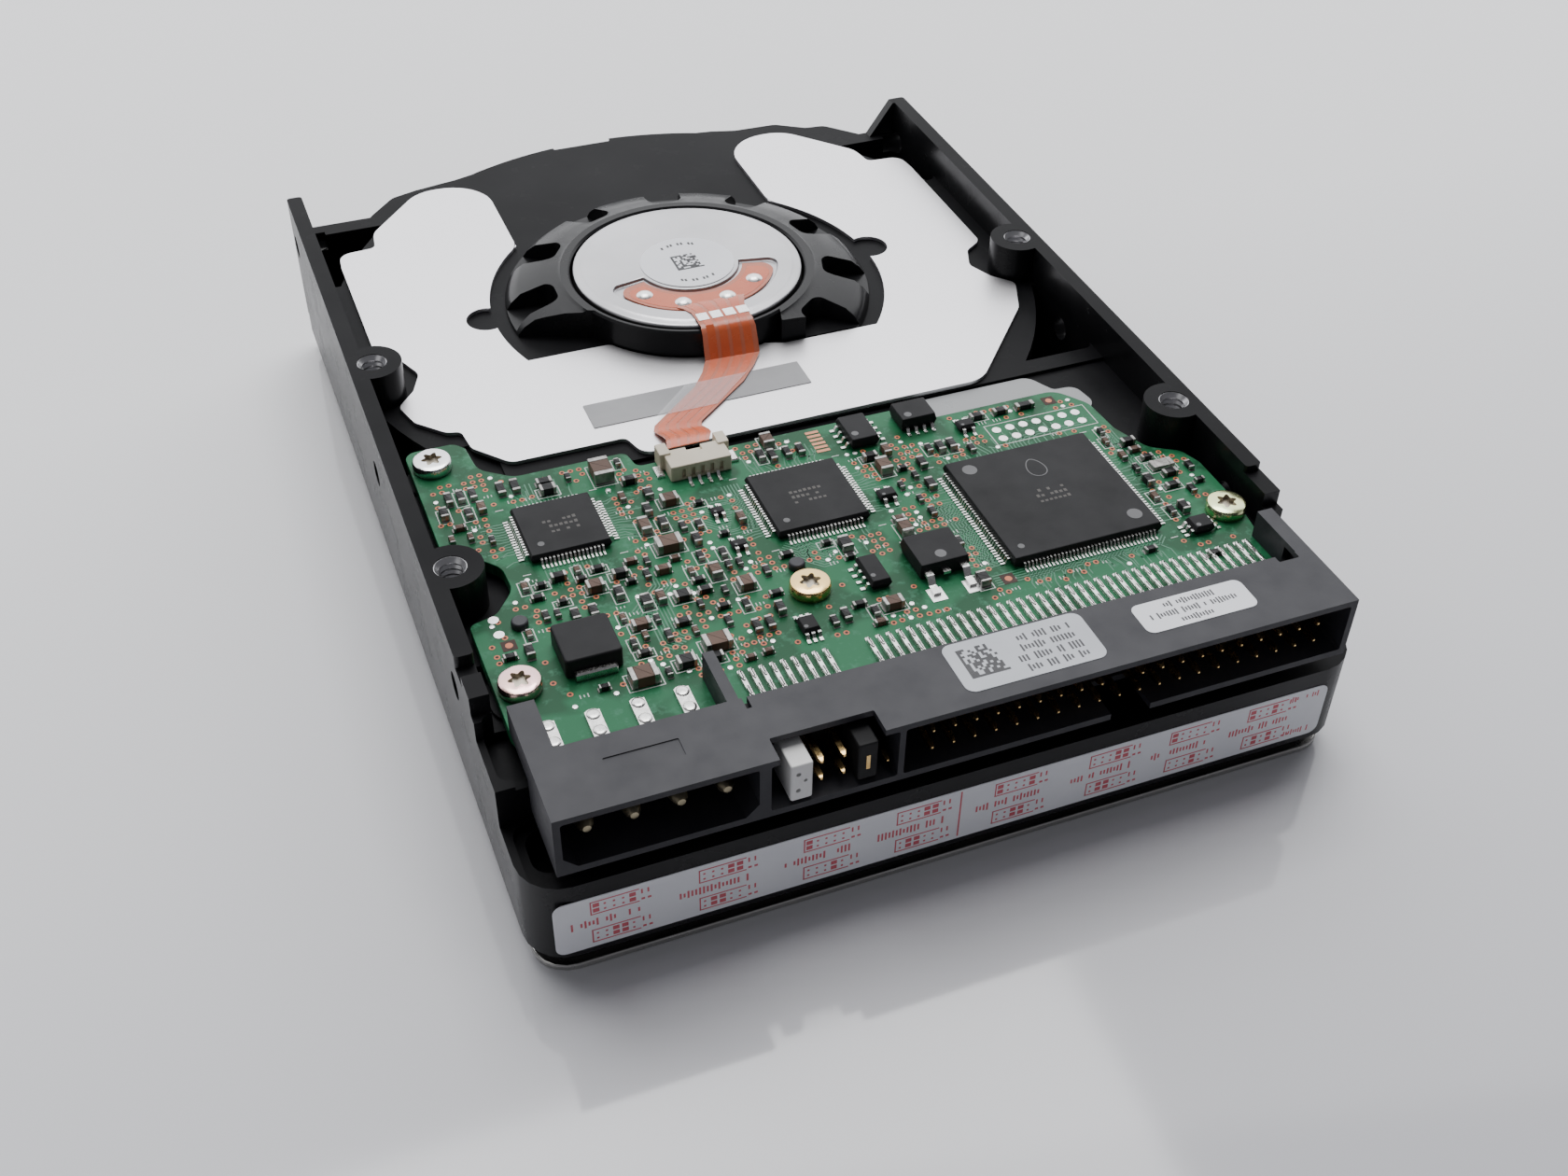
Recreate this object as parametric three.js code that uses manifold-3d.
// A 3.5 inch hard disk drive with a parallel interface, lying on its cover with the board side up.
// Millimetres. X runs across the drive, the connector end is at -Y, the spindle end at +Y, +Z is up.
// The origin is the centre of the drive's footprint, on the surface that the cover rests on.
import * as THREE from 'three';
import { mergeVertices } from 'three/addons/utils/BufferGeometryUtils.js';
import Module from 'manifold-3d';

const wasm = await Module();
wasm.setup();

// ---- Driving dimensions ----
const WIDTH = 101.6;
const LENGTH = 146.6;
const HEIGHT = 25.4;
const HALF_W = WIDTH / 2;
const FRONT_Y = -LENGTH / 2;
const SPINDLE_Y = 23.3;
const NOSE_R = LENGTH / 2 - SPINDLE_Y;
const RAIL_REAR_Y = 60.5;
const RAIL_T = 2.2;
// Each rail's front end, and the lower toe in front of it.
const RAILS = [
  { side: -1, frontY: -46.8, toeY: -55.5, toeZ: 23 },
  { side: 1, frontY: -47.5, toeY: -51.8, toeZ: 24.3 },
];
const RAIL_X = HALF_W - RAIL_T;

const COVER_T = 0.9;
const COVER_INSET = 0.7;
const BOLT_INSET = 1.8;
const BASE_Z = 1.6;
const REBATE_Z = 3.3;
const SHELF_Z = 14.6;
const SHELF_Y = -62.5;
const DECK_Z = 20.0;
const CEILING_Z = 17.8;
const LOW_CEILING_Z = 12.4;
const BAY_Z = 19.5;
const BAY_REAR_Y = -12.9;
const POCKET_Z = 8;
const CAVITY_R = 48.6;
const CAVITY_HALF_X = 45.5;

const PLATTER_R = 47.5;
const PLATTER_BORE_R = 12.5;
const PLATTER_T = 1.0;
const PLATTER_PITCH = 3.4;
const STACK_Z = 4.2;
const PLATTER_COUNT = 3;

const PIVOT = [18, -30];
const ARM_L = 30;
const HEAD_L = 50;
const PARK_ANGLE = 163.8;
const COIL_ANGLE = -47;
const COIL_Z = [6.6, 9.6];
const COIL_HALF = 17;

const PCB_Z = [20.0, 21.6];
const PLATE_Z = [20.05, 20.6];
const MOTOR_R = 16.5;
const MOTOR_TOP_Z = 24.9;

const MOUNT_X = 47.625;
const MOUNT_YS = [-31.8, 12.65];
const MOUNT_HOLE_R = 1.6;
const SIDE_HOLES = [[-44.5, 19.05], [-0.75, 17.4], [57.1, 19.05]];

const BOARD_SCREWS = [[-44.6, -7.8], [-44.6, -50.1], [44.6, -50.1], [-8.9, -46]];
const COVER_SCREWS = [[-44.5, -66], [44.5, -66], [-45, -9], [45, -9], [-43.5, 54.5], [43.5, 54.5]];

const HOUSING_X = [-47.4, 47.0];
const HOUSING_Z = [17.1, 25.35];
const HOUSING_REAR_Y = -63.5;
const PIN_PITCH = 2.54;
const PIN_ROWS_Z = [19.76, 22.3];
const PIN_TIP_Y = -72.5;
const DATA_CENTRE_X = 18.71;
const DATA_COLUMNS = 20;
const DATA_KEY_COLUMN = 9;
const JUMPER_FIRST_X = -20.8;
const POWER_CENTRE_X = -35.9;
const POWER_PITCH = 5.04;
const BAYS = {
  power: { x: [-46.6, -25.5], z: [17.95, 24.55] },
  jumper: { x: [-24.2, -9.8], z: [17.95, 24.55] },
  data: { x: [-9.1, 46.2], z: [17.95, 24.55] },
};

const SEG = 26;

// ---- Finishes ----
function finish(color, roughness, metalness) {
  return new THREE.MeshStandardMaterial({ color, roughness, metalness });
}
const BLACK_COAT = finish(0x17181a, 0.38, 0.3);
const STEEL = finish(0xc9c9cb, 0.28, 1);
const BRIGHT_STEEL = finish(0xe2e2e4, 0.2, 1);
const ALUMINIUM = finish(0xb5b7ba, 0.4, 1);
const BLACK_PLASTIC = finish(0x232427, 0.55, 0);
const CHIP_PLASTIC = finish(0x1c1d1f, 0.6, 0);
const GREEN_BOARD = finish(0x2c7a50, 0.4, 0);
const RUBBER = finish(0x111111, 0.9, 0);
const COPPER = finish(0xb46a3c, 0.35, 1);
const GOLD = finish(0xd8a94e, 0.25, 1);
const TIN = finish(0xbfc1c2, 0.3, 1);
const CREAM = finish(0xd9cfb8, 0.6, 0);
const WHITE_LABEL = finish(0xe4e6ea, 0.5, 0);
const ORANGE_FLEX = finish(0xd9855f, 0.4, 0);
const GREY_FILM = finish(0xa2a4a8, 0.5, 0);
const MAGNET_NICKEL = finish(0x9c9ea2, 0.3, 1);
const WHITE_PLASTIC = finish(0xe6e6e2, 0.5, 0);

// ---- Shapes ----
function rad(degrees) {
  return (degrees * Math.PI) / 180;
}

function polar([x, y], length, degrees) {
  return [x + length * Math.cos(rad(degrees)), y + length * Math.sin(rad(degrees))];
}

// A closed outline from corners [x, y, radius], each corner rounded to its radius.
function outline(corners, arcSteps = 3) {
  const points = [];
  corners.forEach(([x, y, r = 0], i) => {
    const corner = new THREE.Vector2(x, y);
    if (r === 0) {
      points.push(corner);
      return;
    }
    const [bx, by] = corners[(i + corners.length - 1) % corners.length];
    const [nx, ny] = corners[(i + 1) % corners.length];
    const back = new THREE.Vector2(bx, by).sub(corner).normalize();
    const next = new THREE.Vector2(nx, ny).sub(corner).normalize();
    const half = Math.acos(back.dot(next)) / 2;
    const centre = back.clone().add(next).normalize().multiplyScalar(r / Math.sin(half)).add(corner);
    const start = back.clone().multiplyScalar(r / Math.tan(half)).add(corner).sub(centre);
    const end = next.clone().multiplyScalar(r / Math.tan(half)).add(corner).sub(centre);
    const turn = Math.atan2(start.cross(end), start.dot(end));
    for (let k = 0; k <= arcSteps; k += 1) {
      points.push(start.clone().rotateAround(new THREE.Vector2(), (turn * k) / arcSteps).add(centre));
    }
  });
  return new THREE.Shape(points);
}

function rectangle([x0, x1], [y0, y1], r = 0) {
  return outline([[x0, y0, r], [x1, y0, r], [x1, y1, r], [x0, y1, r]]);
}

// A sector of a ring about a centre, between two radii and two angles in degrees.
function sector([x, y], r0, r1, from, to) {
  const shape = new THREE.Shape();
  shape.absarc(x, y, r1, rad(from), rad(to), false);
  shape.absarc(x, y, r0, rad(to), rad(from), true);
  shape.closePath();
  return shape;
}

function prism(shape, [z0, z1], curveSegments = 6) {
  const geometry = new THREE.ExtrudeGeometry(shape, { depth: z1 - z0, bevelEnabled: false, curveSegments });
  return geometry.translate(0, 0, z0);
}

function block([x0, x1], [y0, y1], [z0, z1]) {
  const geometry = new THREE.BoxGeometry(x1 - x0, y1 - y0, z1 - z0);
  return geometry.translate((x0 + x1) / 2, (y0 + y1) / 2, (z0 + z1) / 2);
}

function disc([x, y], r, [z0, z1], segments = SEG) {
  const geometry = new THREE.CylinderGeometry(r, r, z1 - z0, segments);
  return geometry.rotateX(Math.PI / 2).translate(x, y, (z0 + z1) / 2);
}

// A rod along X, such as a hole in a side wall.
function rodX([x0, x1], y, z, r) {
  const geometry = new THREE.CylinderGeometry(r, r, x1 - x0, 12);
  return geometry.rotateZ(Math.PI / 2).translate((x0 + x1) / 2, y, z);
}

// A turned solid about +Z from a profile of [radius, z], listed up its outer side.
function turned(profile, [x, y] = [0, SPINDLE_Y], segments = SEG) {
  const points = profile.map(([r, z]) => new THREE.Vector2(r, z));
  return new THREE.LatheGeometry(points, segments).rotateX(Math.PI / 2).translate(x, y, 0);
}

function ring(centre, r0, r1, [z0, z1], segments = SEG) {
  return turned([[r0, z0], [r1, z0], [r1, z1], [r0, z1], [r0, z0]], centre, segments);
}

// ---- Booleans ----
function solid(geometry) {
  const bare = geometry.clone();
  bare.deleteAttribute('normal');
  bare.deleteAttribute('uv');
  const merged = mergeVertices(bare, 1e-4);
  const vertProperties = new Float32Array(merged.attributes.position.array);
  const triVerts = new Uint32Array(merged.index.array);
  return new wasm.Manifold(new wasm.Mesh({ numProp: 3, vertProperties, triVerts }));
}

function join(first, ...others) {
  return others.reduce((body, other) => body.add(solid(other)), first);
}

function cut(first, ...others) {
  return others.reduce((body, other) => body.subtract(solid(other)), first);
}

function geometryOf(body) {
  const { vertProperties, triVerts } = body.getMesh();
  const geometry = new THREE.BufferGeometry();
  geometry.setAttribute('position', new THREE.BufferAttribute(new Float32Array(vertProperties), 3));
  geometry.setIndex(new THREE.BufferAttribute(new Uint32Array(triVerts), 1));
  geometry.computeVertexNormals();
  return geometry;
}

const drive = new THREE.Group();

function piece(name, shape, material) {
  const geometry = shape instanceof THREE.BufferGeometry ? shape : geometryOf(shape);
  const mesh = new THREE.Mesh(geometry, material);
  mesh.name = name;
  drive.add(mesh);
}

// ---- Base casting ----
const SPINDLE = [0, SPINDLE_Y];
const FRONT_WALL_Y = FRONT_Y + 0.3;

// The drive's plan: a rectangle with a round nose about the spindle.
function footprint(inset, span) {
  const x = HALF_W - inset;
  const body = rectangle([-x, x], [FRONT_WALL_Y + inset, RAIL_REAR_Y - inset], 5 - inset);
  return join(solid(prism(body, span)), disc(SPINDLE, NOSE_R - inset, span, 52));
}

// The ring of the casting round the motor, sloping outward, with a pocket between each two ribs.
// Below the motor, where the flexible circuit leaves, only its inner lip is there.
function motorCollar() {
  const ribbed = solid(turned([
    [16.8, 18.5], [26.5, 18.5], [26.5, 20.6], [24.5, 22], [19.5, 24.2], [16.8, 24.5], [16.8, 18.5],
  ]));
  const slot = outline([[19.6, -2.4, 2], [27.5, -3.1], [27.5, 3.1], [19.6, 2.4, 2]]);
  const pockets = [];
  for (let k = 0; k < 8; k += 1) {
    const pocket = prism(slot, [20.6, HEIGHT]).rotateZ(rad(-50 + k * 32.7));
    pockets.push(pocket.translate(0, SPINDLE_Y, 0));
  }
  const gap = prism(sector(SPINDLE, 10, 30, -160, -60), [18, HEIGHT], 10);
  const lip = ring(SPINDLE, 16.8, 17.9, [18.5, 24.4], 40);
  return join(cut(ribbed, ...pockets, gap).intersect(motorWindow(0.4)), lip);
}

// The span of X between two distances from the drive's middle, on one side of it.
function sideSpan(side, near, far) {
  return side > 0 ? [near, far] : [-far, -near];
}

// A deep pocket in a corner that the round disc chamber leaves free.
function cornerPocket(side, [y0, y1]) {
  const corner = block(sideSpan(side, 24, RAIL_X), [y0, y1], [POCKET_Z, HEIGHT + 1]);
  return cut(solid(corner), disc(SPINDLE, CAVITY_R + 1.9, [0, HEIGHT + 2], 44));
}

function chamber() {
  const rounds = solid(disc(SPINDLE, CAVITY_R, [BASE_Z - 1, CEILING_Z], 48));
  const middle = rectangle([-CAVITY_HALF_X, CAVITY_HALF_X], [-59, -14], 4);
  const low = rectangle([-CAVITY_HALF_X, CAVITY_HALF_X], [-69.5, -50], 5);
  const throat = block([-36.5, 36], [-20, -11.4], [BASE_Z - 1, CEILING_Z]);
  const whole = join(rounds, prism(middle, [BASE_Z - 1, CEILING_Z]),
    prism(low, [BASE_Z - 1, LOW_CEILING_Z]), throat);
  const bosses = [
    disc([-44.5, -66], 4.4, [0, HEIGHT], 16),
    disc([44.5, -66], 4.4, [0, HEIGHT], 16),
    disc([-44.6, -50.1], 3.6, [12.7, HEIGHT], 12),
    disc([44.6, -50.1], 3.6, [12.7, HEIGHT], 12),
    disc([-8.9, -46], 3.4, [14, HEIGHT], 16),
    disc([2, -62], 1, [5, HEIGHT], 8),
  ];
  return cut(whole, ...bosses);
}

function mountBoss(side, y) {
  const boss = solid(disc([side * MOUNT_X, y], 3.9, [POCKET_Z - 1, HEIGHT], 24));
  return boss.intersect(solid(block(sideSpan(side, 40, HALF_W), [y - 9, y + 9], [0, HEIGHT])));
}

function rail({ side, frontY, toeY, toeZ }) {
  const x = sideSpan(side, RAIL_X, HALF_W);
  const bar = solid(prism(rectangle(x, [frontY, RAIL_REAR_Y], 0.6), [POCKET_Z, HEIGHT]));
  return join(bar, block(x, [toeY, frontY + 2], [POCKET_Z, toeZ]));
}

// The flange of the disc chamber, which bulges past the round nose on both sides of it.
function noseLobes() {
  const right = outline([[14, 60], [14, 70.6], [20, 69.8], [24, 68.7, 2], [31, 68.5, 2], [35.5, 65.6, 2],
    [38.6, 65.3, 2], [43.5, 60], [43.5, 58]]);
  const left = outline([[-14, 60], [-38.5, 58], [-39.5, 60, 2], [-34.5, 65.4, 3], [-30.5, 66.6, 3],
    [-24, 67.8], [-14, 70.6]]);
  return [prism(right, [SHELF_Z, DECK_Z]), prism(left, [SHELF_Z, DECK_Z])];
}

// The web that holds up the right rail's rear end.
function rearWeb() {
  const web = prism(outline([[43.6, DECK_Z - 1], [49, DECK_Z - 1], [49, HEIGHT], [48.4, HEIGHT]]), [0, 1.6]);
  return web.rotateX(Math.PI / 2).translate(0, RAIL_REAR_Y, 0);
}

// The tub's solid parts before it is hollowed.
function castingBlank() {
  let base = footprint(BOLT_INSET, [BASE_Z, REBATE_Z + 0.1]).add(footprint(0, [REBATE_Z, DECK_Z]));
  RAILS.forEach((size) => { base = base.add(rail(size)); });
  base = join(base, rearWeb(), ...noseLobes());
  base = cut(base,
    block([-60, 60], [FRONT_Y - 5, SHELF_Y], [SHELF_Z, HEIGHT + 1]),
    block([-RAIL_X, RAIL_X], [SHELF_Y - 1, BAY_REAR_Y], [BAY_Z, HEIGHT + 1]),
    block([-RAIL_X, -36], [BAY_REAR_Y - 1, -2.5], [BAY_Z, HEIGHT + 1]),
    block([-6.3, 3.3], [72.2, 75], [17, HEIGHT]));
  for (const side of [-1, 1]) {
    base = base.subtract(cornerPocket(side, [-10, 8])).subtract(cornerPocket(side, [42, 57.6]));
    MOUNT_YS.forEach((y) => { base = base.add(mountBoss(side, y)); });
  }
  return join(base, ...BOARD_SCREWS.map((spot) => disc(spot, 3.5, [POCKET_Z - 1, PCB_Z[0] - 0.05], 12)));
}

function fastenerHoles() {
  const holes = BOARD_SCREWS.map((spot) => disc(spot, 1.7, [14.6, HEIGHT], 12));
  COVER_SCREWS.forEach((spot) => holes.push(disc(spot, 1.3, [0, 7.5], 8), disc(spot, 4.3, [0, 2.1], 10)));
  for (const side of [-1, 1]) {
    MOUNT_YS.forEach((y) => holes.push(disc([side * MOUNT_X, y], MOUNT_HOLE_R, [18.4, 26], 16)));
    SIDE_HOLES.forEach(([y, z]) => holes.push(rodX(sideSpan(side, 46.3, 52), y, z, MOUNT_HOLE_R)));
  }
  return holes;
}

function baseCasting() {
  const tub = castingBlank().subtract(chamber()).add(motorCollar());
  return cut(tub, disc(SPINDLE, 16.8, [CEILING_Z - 1, HEIGHT]), ...fastenerHoles());
}

// ---- Cover side ----
function topCover() {
  let cover = footprint(COVER_INSET, [0, COVER_T]);
  COVER_SCREWS.forEach((spot) => {
    cover = join(cover, disc(spot, 4, [0, 2], 10));
    cover = cut(cover, disc(spot, 3.1, [-1, 1.3], 10), disc(spot, 1.25, [-1, 3], 8));
  });
  const dishes = [disc(SPINDLE, 38, [-1, 0.25], 32), disc(PIVOT, 7, [-1, 0.4], 24)];
  return cut(cover, ...dishes);
}

function coverGasket() {
  const inner = CAVITY_HALF_X + 0.5;
  const hole = join(solid(disc(SPINDLE, CAVITY_R, [0, 3], 48)),
    prism(rectangle([-inner, inner], [-69.2, -14], 4), [0, 3]));
  const gasket = footprint(BOLT_INSET, [COVER_T + 0.05, BASE_Z - 0.05]).subtract(hole);
  return cut(gasket, ...COVER_SCREWS.map((spot) => disc(spot, 4.3, [0, 3], 12)));
}

function screw([x, y], { headR, head, shankR, tip, up }) {
  const flip = up ? 1 : -1;
  const [under, top] = head;
  const socket = top - flip * 0.7;
  const profile = [
    [0, tip], [shankR, tip], [shankR, under], [headR, under],
    [headR, top], [1.1, top], [1.1, socket], [0, socket],
  ];
  return turned(up ? profile : profile.reverse(), [x, y], 12);
}

function fasteners() {
  BOARD_SCREWS.forEach((spot, i) => {
    const size = { headR: 2.45, head: [PCB_Z[1] + 0.02, 23.1], shankR: 1.3, tip: 15.2, up: true };
    piece(`board_screw_${i + 1}`, screw(spot, size), i === 0 ? STEEL : GOLD);
  });
  COVER_SCREWS.forEach((spot, i) => {
    const size = { headR: 2.7, head: [1.28, 0.15], shankR: 1.0, tip: 7.2, up: false };
    piece(`cover_screw_${i + 1}`, screw(spot, size), STEEL);
  });
}

// ---- Spindle motor and discs ----
function motorFlange() {
  const cup = solid(turned([
    [0, 23.75], [3.15, 23.75], [3.15, 19.2], [6, 19.2], [6, 23.75], [15.3, 23.75], [15.3, 18.2],
    [MOTOR_R, 18.2], [MOTOR_R, 24.5], [MOTOR_R - 0.4, MOTOR_TOP_Z], [0, MOTOR_TOP_Z],
  ]));
  const window = prism(sector(SPINDLE, 7.6, 13, -158, -22), [24.5, 26], 12);
  return cut(cup, window);
}

function statorStack() {
  const teeth = 9;
  let stack = solid(ring(SPINDLE, 6.15, 8.2, [18.8, 22.6]));
  for (let k = 0; k < teeth; k += 1) {
    const angle = (k * 360) / teeth;
    const tooth = block([8, 12.6], [-1.6, 1.6], [18.8, 22.6]).rotateZ(rad(angle)).translate(0, SPINDLE_Y, 0);
    stack = join(stack, tooth);
  }
  return stack;
}

function spindleHub() {
  return turned([
    [3.3, 3.8], [12.4, 3.8], [12.4, 12.03], [15.4, 12.03], [15.4, 13.4], [14.9, 13.4], [14.9, 22.9],
    [14.2, 22.9], [14.2, 18.2], [13.2, 17.6], [3.3, 17.6], [3.3, 3.8],
  ]);
}

function diskClamp() {
  return turned([
    [4, 2.6], [15.3, 2.6], [15.3, 4.15], [12.8, 4.15], [12.8, 3.7], [4, 3.7], [4, 2.6],
  ]);
}

function spindleParts() {
  piece('motor_flange', motorFlange(), ALUMINIUM);
  piece('motor_stator', statorStack(), COPPER);
  piece('spindle_shaft', disc(SPINDLE, 3, [1.2, 23.65], 32), STEEL);
  piece('motor_label', disc(SPINDLE, 6.8, [MOTOR_TOP_Z + 0.02, MOTOR_TOP_Z + 0.12]), WHITE_LABEL);
  piece('spindle_hub', spindleHub(), ALUMINIUM);
  piece('rotor_magnet', ring(SPINDLE, 13.1, 14.15, [18.8, 22.9]), MAGNET_NICKEL);
  piece('disk_clamp', diskClamp(), ALUMINIUM);
  for (let k = 0; k < PLATTER_COUNT; k += 1) {
    const z = STACK_Z + k * PLATTER_PITCH;
    piece(`platter_${k + 1}`, ring(SPINDLE, PLATTER_BORE_R, PLATTER_R, [z, z + PLATTER_T], 48), BRIGHT_STEEL);
    if (k < PLATTER_COUNT - 1) {
      const gap = [z + PLATTER_T + 0.03, z + PLATTER_PITCH - 0.03];
      piece(`disk_spacer_${k + 1}`, ring(SPINDLE, PLATTER_BORE_R, 15.4, gap), ALUMINIUM);
    }
  }
}

// ---- Head actuator ----
// The height of each arm, midway between the discs that it serves; the end arms are thinner.
const ARMS = [
  { z: [2.6, 3.4], faces: ['up'] },
  { z: [5.9, 6.9], faces: ['down', 'up'] },
  { z: [9.3, 10.3], faces: ['down', 'up'] },
  { z: [12.8, 13.6], faces: ['down'] },
];

function alongArm(shape) {
  return shape.rotateZ(rad(PARK_ANGLE)).translate(PIVOT[0], PIVOT[1], 0);
}

function actuatorArm() {
  let arm = solid(disc(PIVOT, 8, [2.6, 13.6], 24));
  const plan = outline([[4, -7], [ARM_L - 2, -3.2, 2], [ARM_L + 2, -2.6, 2], [ARM_L + 2, 2.6, 2],
    [ARM_L - 2, 3.2, 2], [4, 7]]);
  ARMS.forEach(({ z }) => { arm = join(arm, alongArm(prism(plan, z))); });
  const fork = [
    prism(sector(PIVOT, 6.5, 15.2, COIL_ANGLE - COIL_HALF - 3.5, COIL_ANGLE + COIL_HALF + 3.5), COIL_Z),
    prism(sector(PIVOT, 14, 26.5, COIL_ANGLE + COIL_HALF + 0.8, COIL_ANGLE + COIL_HALF + 3.5), COIL_Z, 4),
    prism(sector(PIVOT, 14, 26.5, COIL_ANGLE - COIL_HALF - 3.5, COIL_ANGLE - COIL_HALF - 0.8), COIL_Z, 4),
  ];
  arm = join(arm, ...fork);
  const [sx, sy] = polar(PIVOT, ARM_L - 1, PARK_ANGLE);
  return cut(arm, disc(PIVOT, 6.4, [2, 15]), disc([sx, sy], 2.1, [2, 15], 12));
}

function voiceCoil() {
  const outer = solid(prism(sector(PIVOT, 15.5, 28, COIL_ANGLE - COIL_HALF, COIL_ANGLE + COIL_HALF), COIL_Z));
  return cut(outer, prism(sector(PIVOT, 19, 25, COIL_ANGLE - 9, COIL_ANGLE + 9), [0, 20]));
}

// One arm's load beams and sliders, held by a swaged boss through the hole at the arm's tip.
function suspension({ z: [z0, z1], faces }) {
  const plan = outline([[ARM_L - 4, -2.4, 0.5], [ARM_L + 3, -2.4, 1], [HEAD_L - 1, -0.9, 0.3],
    [HEAD_L + 3.2, -0.3], [HEAD_L + 3.2, 0.3], [HEAD_L - 1, 0.9, 0.3], [ARM_L + 3, 2.4, 1],
    [ARM_L - 4, 2.4, 0.5]]);
  const beam = 0.2;
  const reach = 0.72;
  const boss = geometryForBoss([z0 + 0.1, z1 - 0.1]);
  let body = solid(boss);
  faces.forEach((face) => {
    const up = face === 'up';
    const sheet = up ? [z1, z1 + beam] : [z0 - beam, z0];
    const slider = up ? [z1 + 0.1, z1 + reach - 0.1] : [z0 - reach + 0.1, z0 - 0.1];
    body = join(body, alongArm(prism(plan, sheet)),
      alongArm(block([HEAD_L - 1.2, HEAD_L], [-0.5, 0.5], slider)),
      geometryForBoss(up ? [z0 + 0.1, z1 + 0.1] : [z0 - 0.1, z1 - 0.1]));
  });
  return body;
}

function geometryForBoss(span) {
  return disc(polar(PIVOT, ARM_L - 1, PARK_ANGLE), 1.8, span, 10);
}

// The parking comb at the discs' rim, with a tooth beside each disc.
function headRamp() {
  const [from, to] = [PARK_ANGLE - 2.5, PARK_ANGLE + 3];
  let comb = solid(prism(sector(PIVOT, HEAD_L + 3.6, HEAD_L + 6, from, to), [2.6, CEILING_Z - 0.05], 4));
  for (let k = 0; k < PLATTER_COUNT; k += 1) {
    const z = STACK_Z + k * PLATTER_PITCH;
    comb = join(comb, prism(sector(PIVOT, HEAD_L + 1.7, HEAD_L + 4, from, to), [z - 0.25, z + 1.2], 4));
  }
  return comb;
}

function yokePlan() {
  return sector(PIVOT, 12.8, 30, -101, -27);
}

function magnetYokes() {
  const posts = [-50, -85].map((angle) => polar(PIVOT, 31, angle));
  let upper = solid(prism(yokePlan(), [10.3, 12.2], 10));
  posts.forEach((spot) => { upper = join(upper, disc(spot, 2.2, [4.05, 12.2], 12)); });
  let lower = solid(prism(yokePlan(), [1.8, 3.9], 10));
  posts.forEach((spot) => { lower = join(lower, disc(spot, 2.8, [1.8, 3.9], 12)); });
  piece('magnet_yoke_upper', upper, STEEL);
  piece('magnet_yoke_lower', lower, STEEL);
  piece('voice_coil_magnet', prism(sector(PIVOT, 14.5, 28.5, -99, -29), [3.95, 6.1], 10), MAGNET_NICKEL);
}

const LATCH = [2, -62];

function latchLever() {
  const plan = outline([[-2.4, -2.2, 1.5], [3, -2, 1], [9.5, -0.2, 0.4], [9.5, 1.6, 0.4], [3, 1.4, 1],
    [-2.4, 2.2, 1.5]]);
  const lever = prism(plan, COIL_Z).translate(LATCH[0], LATCH[1], 0);
  return cut(solid(lever), disc(LATCH, 1.25, [5, 12], 20));
}

function actuatorParts() {
  piece('pivot_shaft', disc(PIVOT, 3, [1.2, CEILING_Z - 0.05], 32), STEEL);
  piece('pivot_bearing', ring(PIVOT, 3.2, 6.2, [3, 14]), BRIGHT_STEEL);
  piece('actuator_arm', actuatorArm(), ALUMINIUM);
  piece('voice_coil', voiceCoil(), COPPER);
  ARMS.forEach((arm, i) => piece(`head_suspension_${i + 1}`, suspension(arm), BRIGHT_STEEL));
  piece('head_ramp', headRamp(), CREAM);
  magnetYokes();
  piece('actuator_latch', latchLever(), BLACK_PLASTIC);
  piece('air_filter', prism(rectangle([-44, -36], [-40, -36.5], 0.8), [3, 13]), WHITE_PLASTIC);
  piece('head_connector', prism(rectangle([-26, -10], [-37, -30], 1), [13.5, CEILING_Z - 0.05]), CREAM);
}

// ---- Damping plate and motor flex ----
// The plate's window for the motor: a round opening with a stepped lower edge, drawn in by an inset.
function motorWindow(inset) {
  const stepped = prism(outline([
    [-40, 13 + inset], [-15 + inset, 13 + inset, 2], [-12.5, 10.6 + inset, 2], [4, 6.4 + inset, 3],
    [8, 5 + inset, 2], [40, 5 + inset], [40, 60], [-40, 60],
  ]), [18, 26]);
  const round = solid(disc(SPINDLE, 28.6 - inset, [18, 26], 48)).intersect(solid(stepped));
  return join(round, disc(SPINDLE, 18.2 - inset, [18, 26], 36));
}

function dampingPlate() {
  const half = 46;
  const corners = [
    [-20.3, 64.5, 8], [-30.5, 64.8, 6], [-39.6, 54.5, 4], [-40.2, 50.2, 1], [-45.6, 49.8, 2], [-half, 46, 1],
    [-half, 21, 2], [-43, 19, 2], [-41.4, 15, 2], [-43, 11.2, 1], [-45.6, 8.2, 1.5], [-44.4, 4, 2],
    [-41, 0.4, 2], [-39.2, 0, 1], [-38.8, -4, 2], [-34.8, -8.7, 2], [-19.6, -8.7, 1],
    [-18.4, -12.7, 2], [30, -12.7, 5], [43, 2, 4], [45.6, 8.2, 1.5], [43, 11.2, 1], [41.4, 15, 2],
    [43, 19, 2], [half, 21, 2], [half, 46, 1], [45.6, 49.8, 2], [40.2, 50.2, 1], [39.6, 54.5, 4], [31, 64.8, 6], [20.3, 64.5, 8],
  ];
  const sheet = solid(prism(outline(corners), PLATE_Z));
  const mouth = [[-20.3, 44], [20.3, 44], [20.3, 64.5, 7], [31, 64.82], [31, 72], [-31, 72], [-31, 64.82],
    [-20.3, 64.5, 7]];
  const top = prism(outline(mouth), [19, 22]);
  return cut(sheet.subtract(motorWindow(0)), top, disc([-29.4, 25.2], 3.1, [19, 22], 20),
    disc([29.4, 25.2], 3.1, [19, 22], 20));
}

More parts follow.
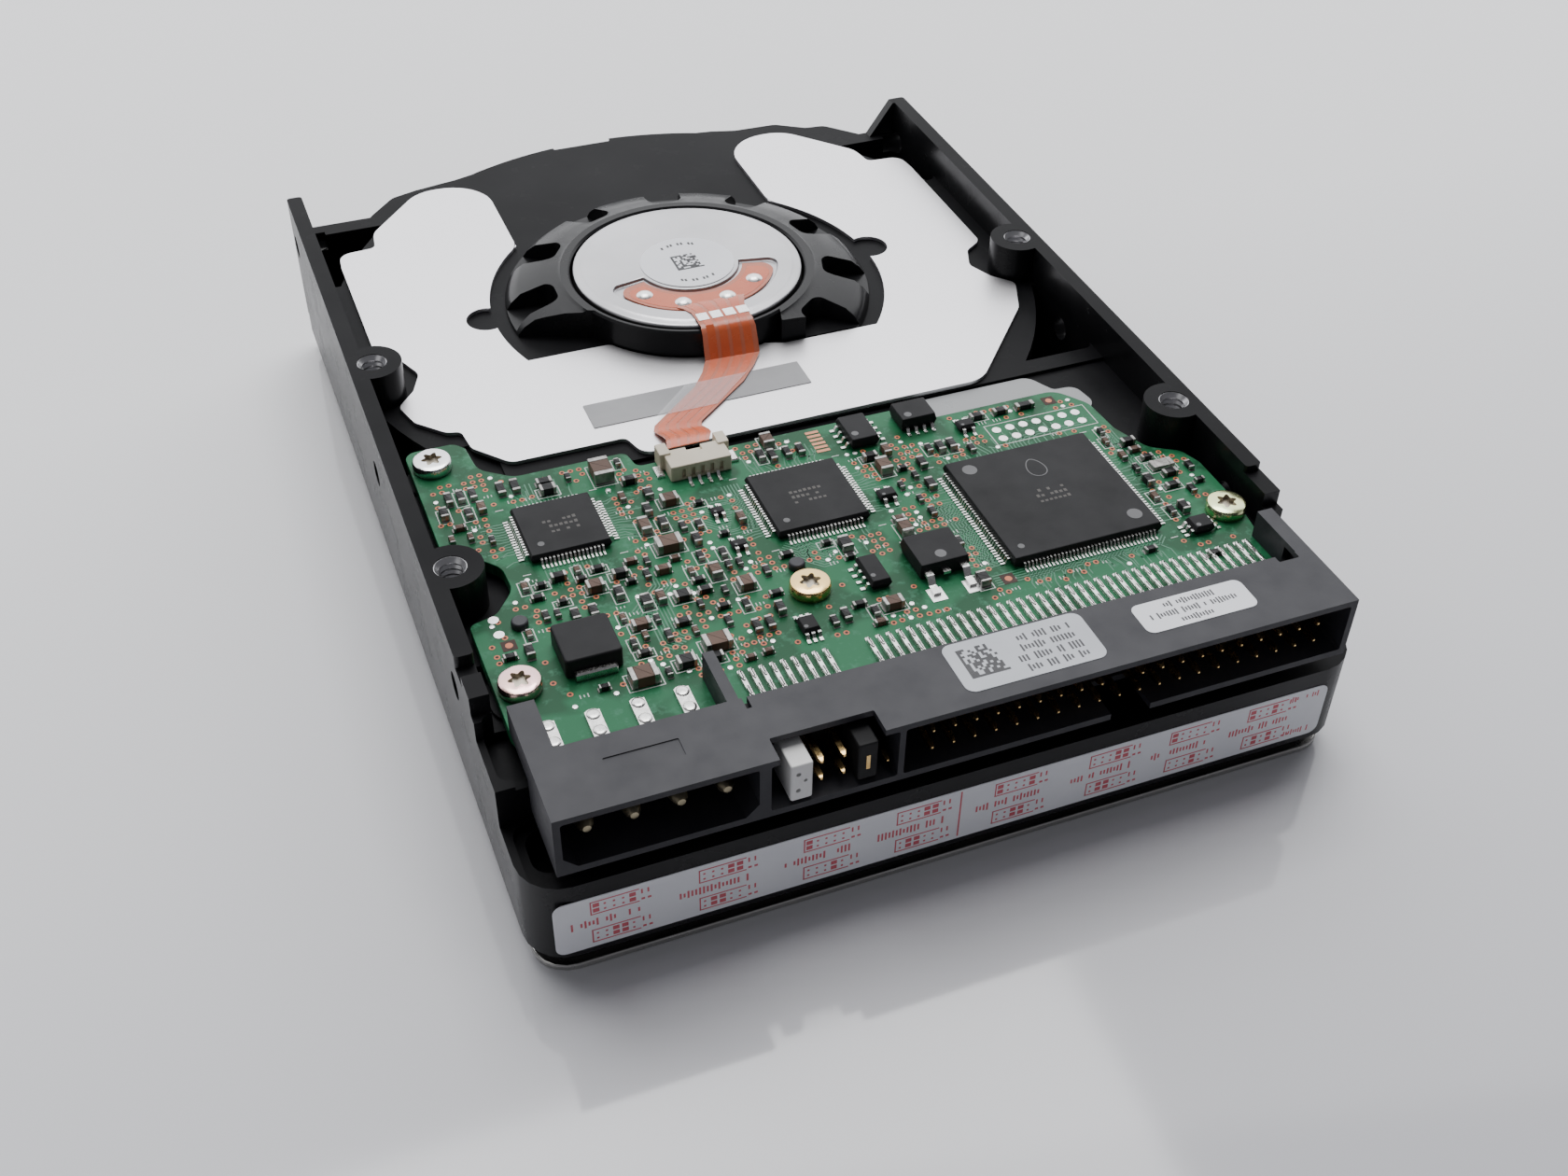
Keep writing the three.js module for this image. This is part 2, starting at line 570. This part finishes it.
// Cross lines of the flat motor cable: left x, y and right x, y at each height.
const FLEX_ROUTE = [
  [-4.4, 13.4, 4.4, 13.4, 24.6],
  [-4.2, 11.9, 4.2, 11.9, 24.97],
  [-3.9, 5.2, 4.1, 5.2, 24.97],
  [-3.4, 4.3, 4.4, 4.3, 23.7],
  [-2.4, 3.3, 5, 3.3, 21.6],
  [-2, 2.2, 5.4, 2.2, 20.9],
  [-4.4, -0.8, 2.2, -2, 20.85],
  [-15.2, -7.6, -8.8, -8.6, 20.85],
  [-16.4, -10.6, -10.2, -10.8, 20.9],
  [-16.4, -13, -10.4, -13, 22.1],
  [-16.2, -15.6, -10.6, -15.6, 22.7],
];
const FLEX_T = 0.12;

function motorFlex() {
  const positions = [];
  FLEX_ROUTE.forEach(([lx, ly, rx, ry, z]) => {
    positions.push(lx, ly, z, rx, ry, z, rx, ry, z + FLEX_T, lx, ly, z + FLEX_T);
  });
  const index = [];
  const quad = (a, b, c, d) => index.push(a, c, b, a, d, c);
  for (let k = 0; k < FLEX_ROUTE.length - 1; k += 1) {
    const a = 4 * k;
    const b = a + 4;
    for (let side = 0; side < 4; side += 1) {
      const next = (side + 1) % 4;
      quad(a + side, b + side, b + next, a + next);
    }
  }
  const last = 4 * (FLEX_ROUTE.length - 1);
  quad(0, 1, 2, 3);
  quad(last, last + 3, last + 2, last + 1);
  const ribbon = new THREE.BufferGeometry();
  ribbon.setAttribute('position', new THREE.Float32BufferAttribute(positions, 3));
  ribbon.setIndex(index);
  const crescent = prism(sector(SPINDLE, 8, 12.7, -156, -24), [24.55, 24.72], 12);
  return join(solid(ribbon), crescent);
}

// ---- Circuit board ----
function circuitBoard() {
  const corners = [
    [-47.4, -3.6, 1.5], [-41, -3.6, 1.5], [-39.8, -5, 1], [-39.4, -10, 3], [-35.5, -13, 3], [-21, -13, 1],
    [-20.4, -16.3, 1], [19, -16.3, 0.8], [19, -19.7, 0.8], [37, -19.7, 3], [40, -24, 3], [40.4, -30, 2],
    [42.4, -35.2, 3], [46, -37.4, 2], [47, -40.4, 1.5], [47, -49, 3], [46, -56, 2], [45, -61, 1],
    [-46, -61, 1], [-47.4, -56, 2], [-47.4, -38.2, 1], [-44, -37.4, 2.5], [-41.2, -33.8, 3],
    [-41.4, -29.6, 3], [-44.2, -26.4, 2.5], [-47.4, -25.4, 1],
  ];
  const board = solid(prism(outline(corners), PCB_Z));
  return cut(board, ...BOARD_SCREWS.map((spot) => disc(spot, 1.6, [19, 23], 20)));
}

function insulatorFilm() {
  const corners = [
    [-34, -14.6, 2], [19.6, -14.6, 1], [20.6, -13.3, 0.8], [36.5, -13.3, 2], [38.5, -17.2, 1],
    [41.6, -17.4, 1.6], [42.4, -22, 2], [38, -24, 2], [38, -57, 2], [-38, -57, 2], [-38, -18, 2],
  ];
  const film = solid(prism(outline(corners), [BAY_Z + 0.05, BAY_Z + 0.25]));
  return cut(film, disc(BOARD_SCREWS[3], 4.2, [19, 20], 24));
}

// A moulded chip body with its edges drawn in towards the top and bottom faces.
function chipBody([x, y], [w, d], [z0, z1]) {
  const taper = 0.25;
  const mid = (z0 + z1) / 2;
  const positions = [];
  for (const [z, inset] of [[z0, taper], [mid, 0], [z1, taper]]) {
    const hx = w / 2 - inset;
    const hy = d / 2 - inset;
    positions.push(x - hx, y - hy, z, x + hx, y - hy, z, x + hx, y + hy, z, x - hx, y + hy, z);
  }
  const index = [0, 2, 1, 0, 3, 2, 8, 9, 10, 8, 10, 11];
  for (const a of [0, 4]) {
    for (let side = 0; side < 4; side += 1) {
      const next = (side + 1) % 4;
      index.push(a + side, a + next, a + 4 + next, a + side, a + 4 + next, a + 4 + side);
    }
  }
  const body = new THREE.BufferGeometry();
  body.setAttribute('position', new THREE.Float32BufferAttribute(positions, 3));
  body.setIndex(index);
  return body;
}

function motorConnector() {
  const shell = solid(block([-18, -8.8], [-21, -15.9], [PCB_Z[1] + 0.05, 23.8]));
  return cut(shell, block([-16.8, -10], [-17.5, -15], [22.3, 23.3]));
}

function boardParts() {
  piece('circuit_board', circuitBoard(), GREEN_BOARD);
  piece('insulator_film', insulatorFilm(), GREY_FILM);
  piece('motor_connector', motorConnector(), CREAM);
  const chips = {
    controller_chip: [[25.1, -41], [20, 20], [21.72, 23.1]],
    channel_chip: [[-3.1, -30.5], [12, 12], [21.72, 22.9]],
    motor_driver_chip: [[-33, -25.5], [10, 10], [21.72, 22.9]],
    voltage_regulator: [[6.9, -46.2], [6.4, 6], [21.66, 23.9]],
    power_inductor: [[-36.2, -47.3], [6.6, 6.6], [21.66, 24.2]],
  };
  for (const [name, size] of Object.entries(chips)) {
    piece(name, chipBody(...size), CHIP_PLASTIC);
  }
}

// ---- Connector ----
function connectorHousing() {
  const y = [FRONT_Y, HOUSING_REAR_Y];
  let shell = solid(block(HOUSING_X, y, HOUSING_Z));
  const through = [FRONT_Y - 1, HOUSING_REAR_Y + 1];
  Object.values(BAYS).forEach(({ x, z }) => { shell = cut(shell, block(x, through, z)); });
  shell = cut(shell,
    block([-23.3, -11.5], [FRONT_Y - 1, -70.1], [24, 26]),
    block([16.2, 21.2], [FRONT_Y - 1, -68], [16, 18.5]));
  const arm = [21.65, HOUSING_Z[1]];
  return join(shell,
    block([46.2, 47], [HOUSING_REAR_Y - 0.5, -55.5], arm),
    block([45, 46.5], [HOUSING_REAR_Y + 0.1, -55.5], arm),
    block([-25.5, -24.2], [HOUSING_REAR_Y - 0.5, -55.5], arm),
    block([-25.5, -24.2], [-66, HOUSING_REAR_Y], [18.5, HOUSING_Z[1]]));
}

const WAFER_GAP = 0.15;
const WAFER_Y = [-66.8, HOUSING_REAR_Y - 0.1];
const LEAD_Z = [PCB_Z[1] + 0.05, 22.15];

// The insulating block that closes a bay from behind and carries its pins.
function wafer({ x: [x0, x1], z: [z0, z1] }) {
  return solid(block([x0 + WAFER_GAP, x1 - WAFER_GAP], WAFER_Y, [z0 + WAFER_GAP, z1 - WAFER_GAP]));
}

function squarePin(x, z) {
  const half = 0.32;
  return block([x - half, x + half], [PIN_TIP_Y, WAFER_Y[0] + 0.5], [z - half, z + half]);
}

function boardLead(x, width) {
  return block([x - width / 2, x + width / 2], [WAFER_Y[1] - 0.5, -56], LEAD_Z);
}

function dataPins() {
  const parts = [];
  for (let column = 0; column < DATA_COLUMNS; column += 1) {
    const x = DATA_CENTRE_X + (column - (DATA_COLUMNS - 1) / 2) * PIN_PITCH;
    PIN_ROWS_Z.forEach((z, row) => {
      if (column !== DATA_KEY_COLUMN || row === 0) parts.push(squarePin(x, z));
      parts.push(boardLead(x + (row - 0.5) * (PIN_PITCH / 2), 0.6));
    });
  }
  return join(wafer(BAYS.data), ...parts);
}

function jumperPins() {
  const parts = [];
  for (let column = 0; column < 5; column += 1) {
    const x = JUMPER_FIRST_X + column * PIN_PITCH;
    PIN_ROWS_Z.forEach((z, row) => {
      if (column === 4 && row === 1) return;
      parts.push(squarePin(x, z), boardLead(x + (row - 0.5) * (PIN_PITCH / 2), 0.6));
    });
  }
  return join(wafer(BAYS.jumper), ...parts);
}

function powerPins() {
  const parts = [];
  const root = WAFER_Y[0] + 0.5;
  for (let k = 0; k < 4; k += 1) {
    const x = POWER_CENTRE_X + (k - 1.5) * POWER_PITCH;
    const pin = turned([[0, -71.6], [0.5, -71.6], [1.05, -70.4], [1.05, root], [0, root]], [0, 0], 12);
    parts.push(pin.rotateX(-Math.PI / 2).translate(x, 0, 21), boardLead(x, 1.7));
  }
  return join(wafer(BAYS.power), ...parts);
}

// A push-on jumper with a blind hole for each of its two pins.
function jumperCap(x, [y0, y1], width) {
  const half = width / 2;
  const body = solid(block([x - half, x + half], [y0, y1], [18.45, 23.65]));
  const holes = PIN_ROWS_Z.map((z) => block([x - 0.6, x + 0.6], [y0 + 0.5, y1 + 1], [z - 0.6, z + 0.6]));
  return cut(body, ...holes);
}

function connectorParts() {
  piece('connector_housing', connectorHousing(), BLACK_PLASTIC);
  piece('data_pins', dataPins(), GOLD);
  piece('power_pins', powerPins(), TIN);
  piece('jumper_pins', jumperPins(), GOLD);
  piece('white_jumper', jumperCap(JUMPER_FIRST_X, [FRONT_Y, -68], 2.5), WHITE_PLASTIC);
  piece('black_jumper', jumperCap(JUMPER_FIRST_X + 3 * PIN_PITCH, [-73, -68.3], 2.3), BLACK_PLASTIC);
}

// ---- Labels and strips ----
function labels() {
  const skin = [HOUSING_Z[1] + 0.01, HOUSING_Z[1] + 0.05];
  piece('code_label', prism(rectangle([-1.1, 16], [-71.5, -63.8], 1.2), skin), WHITE_LABEL);
  piece('plain_label', prism(rectangle([21.7, 36], [-70.1, -65.3], 1), skin), WHITE_LABEL);
  const front = prism(rectangle([-48.3, 46.5], [4.2, 12.2], 1.2), [0, 0.1]);
  front.rotateX(Math.PI / 2).translate(0, FRONT_WALL_Y - 0.02, 0);
  piece('jumper_label', front, WHITE_LABEL);
  const strip = prism(rectangle([-22.8, 7.8], [-5.4, 0]), [PLATE_Z[1] + 0.01, PLATE_Z[1] + 0.11]);
  piece('grey_strip', strip, GREY_FILM);
}

// ---- Assembly ----
piece('base_casting', baseCasting(), BLACK_COAT);
piece('top_cover', topCover(), STEEL);
piece('cover_gasket', coverGasket(), RUBBER);
piece('damping_plate', dampingPlate(), STEEL);
piece('motor_flex', motorFlex(), ORANGE_FLEX);
spindleParts();
actuatorParts();
boardParts();
connectorParts();
labels();
fasteners();

export default drive;
